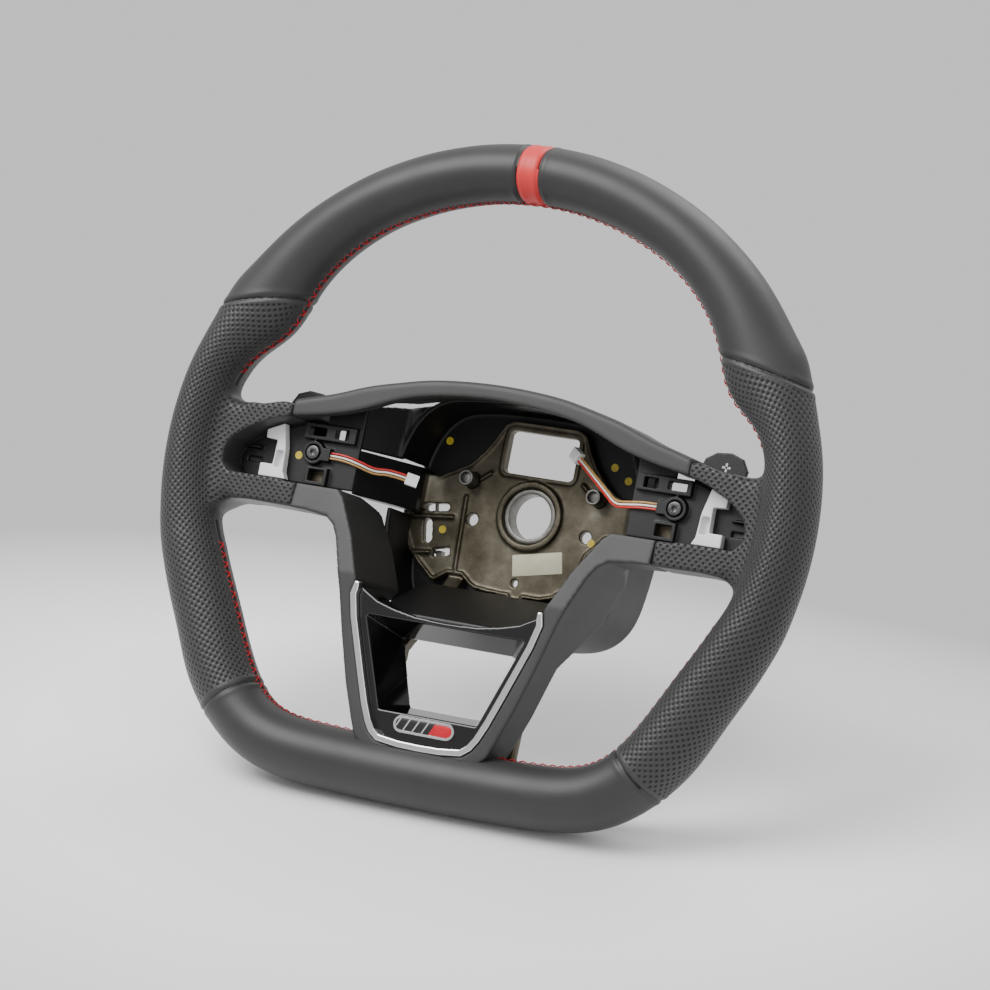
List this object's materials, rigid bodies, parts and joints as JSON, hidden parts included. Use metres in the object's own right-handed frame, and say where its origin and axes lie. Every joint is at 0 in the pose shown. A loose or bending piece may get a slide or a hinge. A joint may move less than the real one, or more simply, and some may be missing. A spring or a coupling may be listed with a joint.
{
  "type": "steering wheel",
  "caption": "Flat-bottom steering wheel with three spokes, leather rim, open hub with die-cast plate, switch pockets and gear paddles.",
  "frame": {"origin": "on the hub's axis, in the plane of the hub plate's front face", "axes": "+X to the driver's right, +Y from the driver along the column, +Z to the rim's top"},
  "size_m": [0.363, 0.1027, 0.3457],
  "materials": {
    "leather_smooth": "smooth matt leather",
    "leather_perforated": "perforated leather",
    "leather_red": "smooth red leather",
    "thread_red": "thread",
    "soft_touch": "fine grained soft-touch",
    "black_plastic": "matt moulded",
    "gloss_black": "polished",
    "chrome": "polished",
    "badge_red": "enamel",
    "cast_metal": "die-cast, oiled",
    "steel": "turned",
    "zinc": "plated",
    "white_plastic": "moulded",
    "foam_black": "moulded foam",
    "label": "printed film, left blank",
    "paint_yellow": "paint",
    "wire_red": "insulated wire",
    "wire_white": "insulated wire",
    "wire_yellow": "insulated wire"
  },
  "bodies": {
    "wheel": {"armature": "cast_metal", "hub_bush": "steel", "locating_sleeves": "zinc", "rim_core": "cast_metal", "rim_foam": "foam_black", "leather_top_right": "leather_smooth", "leather_top_left": "leather_smooth", "leather_marker": "leather_red", "leather_bottom": "leather_smooth", "leather_grip_right": "leather_perforated", "leather_grip_left": "leather_perforated", "seam_thread": "thread_red", "surround_top": "soft_touch", "surround_vee": "soft_touch", "chrome_strip": "chrome", "v_insert": "gloss_black", "badge_frame": "chrome", "badge_inlay": "badge_red", "back_cover": "black_plastic", "cover_screws": "steel", "lower_bowl": "black_plastic", "arm_cover_right": "foam_black", "arm_cover_left": "foam_black", "switch_carrier_right": "black_plastic", "switch_carrier_left": "black_plastic", "carrier_screws": "steel", "switch_clip_right": "white_plastic", "switch_clip_left": "white_plastic", "paddle_housing_right": "black_plastic", "paddle_housing_left": "black_plastic", "hinge_pins": "steel", "paddle_springs": "steel", "retaining_wire": "steel", "hub_label": "label", "paint_marks": "paint_yellow", "wire_left_red": "wire_red", "wire_left_white": "wire_white", "wire_left_yellow": "wire_yellow", "wire_right_red": "wire_red", "wire_right_white": "wire_white", "wire_right_yellow": "wire_yellow", "plug_left": "white_plastic", "plug_right": "white_plastic"},
    "paddle_lever_right": {"paddle_right": "black_plastic"},
    "paddle_lever_left": {"paddle_left": "black_plastic"}
  },
  "joints": [
    {"name": "paddle_right_pull", "type": "hinge", "parent": "wheel", "child": "paddle_lever_right", "pos_m": [0.096, -0.0389, 0.005], "axis": [0, 0, -1], "range_deg": [0, 4.5], "stiffness_Nm_per_rad": 0.5, "springref_deg": -5.73},
    {"name": "paddle_left_pull", "type": "hinge", "parent": "wheel", "child": "paddle_lever_left", "pos_m": [-0.096, -0.0389, 0.005], "axis": [0, 0, 1], "range_deg": [0, 4.5], "stiffness_Nm_per_rad": 0.5, "springref_deg": -5.73}
  ]
}
